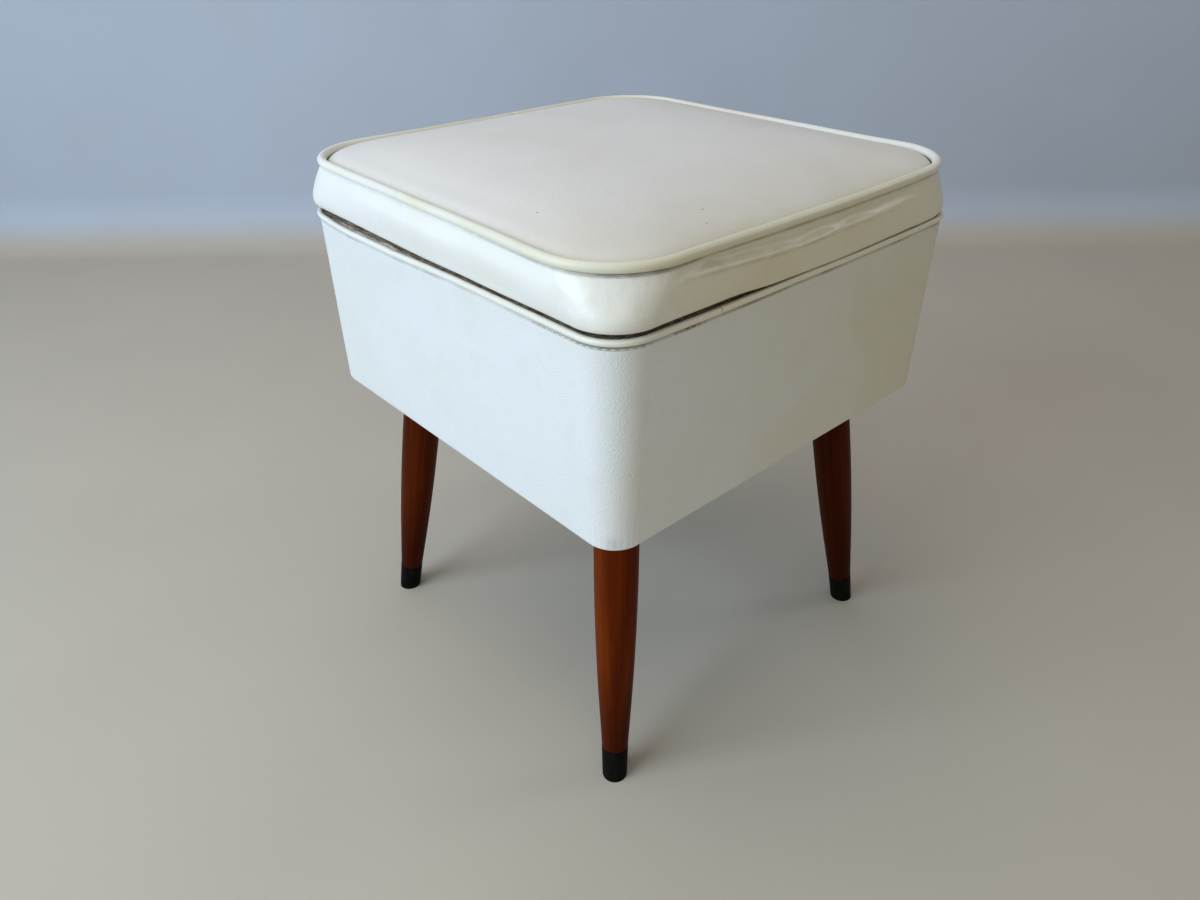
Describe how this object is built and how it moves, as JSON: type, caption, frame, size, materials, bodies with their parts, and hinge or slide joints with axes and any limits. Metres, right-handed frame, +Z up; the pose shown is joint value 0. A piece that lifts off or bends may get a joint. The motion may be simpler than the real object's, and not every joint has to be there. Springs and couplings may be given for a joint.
{
  "type": "sewing ottoman",
  "caption": "Square upholstered sewing ottoman: padded hinged lid with welted edge on a covered storage box with a sliding notions tray, standing on splayed tapered legs with dark tips.",
  "frame": {"origin": "on the floor below the middle of the box", "axes": "+Z up, front towards -Y, lid hinge along X at the back (+Y)"},
  "size_m": [0.3606, 0.3608, 0.4461],
  "materials": {
    "vinyl_cover": "white pebble-grain vinyl, matte",
    "vinyl_band": "white smooth vinyl, satin",
    "vinyl_top": "warm white vinyl with a fine grain, matte",
    "vinyl_welt": "white vinyl piping, slightly yellowed",
    "tack_card": "brown card strip",
    "fibreboard": "raw brown fibreboard",
    "plywood": "raw plywood",
    "pine": "planed pine, unfinished",
    "lining_cloth": "plain cotton lining on card",
    "floor_card": "plain grey-brown card",
    "dust_cloth": "black woven dust cloth",
    "leg_wood": "walnut-stained turned hardwood, satin lacquer",
    "tip_black": "black moulded tip, satin",
    "plate_steel": "pressed steel, black enamel",
    "zinc_steel": "zinc-plated steel",
    "hinge_brass": "brassed steel, slightly dull",
    "buffer_rubber": "black rubber",
    "pad_foam": "foam with cotton felt",
    "tray_wood": "thin plywood, clear lacquer",
    "peg_wood": "birch dowel"
  },
  "bodies": {
    "base": {"body_cover": "vinyl_cover", "rim_welt": "vinyl_welt", "rim_tack_strip": "tack_card", "body_shell": "fibreboard", "bottom_board": "plywood", "cleat_front": "pine", "cleat_back": "pine", "cleat_left": "pine", "cleat_right": "pine", "tray_runner_left": "pine", "tray_runner_right": "pine", "wall_lining": "lining_cloth", "floor_card": "floor_card", "dust_cover": "dust_cloth", "leg_front_left": "leg_wood", "leg_front_right": "leg_wood", "leg_back_left": "leg_wood", "leg_back_right": "leg_wood", "tip_front_left": "tip_black", "tip_front_right": "tip_black", "tip_back_left": "tip_black", "tip_back_right": "tip_black", "leg_plate_front_left": "plate_steel", "leg_plate_front_right": "plate_steel", "leg_plate_back_left": "plate_steel", "leg_plate_back_right": "plate_steel", "leg_plate_screws": "zinc_steel", "leg_bolts": "zinc_steel", "hinge_leaf_body_left": "hinge_brass", "hinge_leaf_body_right": "hinge_brass", "hinge_pins": "hinge_brass", "hinge_screws_body": "hinge_brass", "lid_buffers": "buffer_rubber"},
    "lid": {"lid_board": "plywood", "lid_pad": "pad_foam", "lid_top": "vinyl_top", "lid_band": "vinyl_band", "lid_welt": "vinyl_welt", "lid_lining": "lining_cloth", "hinge_leaf_lid_left": "hinge_brass", "hinge_leaf_lid_right": "hinge_brass", "hinge_screws_lid": "hinge_brass"},
    "tray": {"tray_front": "tray_wood", "tray_back": "tray_wood", "tray_left": "tray_wood", "tray_right": "tray_wood", "tray_floor": "tray_wood", "tray_divider_left": "tray_wood", "tray_divider_right": "tray_wood", "spool_pegs": "peg_wood"}
  },
  "joints": [
    {"name": "lid_hinge", "type": "hinge", "parent": "base", "child": "lid", "pos_m": [0, 0.1776, 0.3922], "axis": [-1, 0, 0], "range_deg": [0, 100]},
    {"name": "tray_slide", "type": "slide", "parent": "base", "child": "tray", "axis": [0, -1, 0], "range_m": [0, 0.167]}
  ]
}
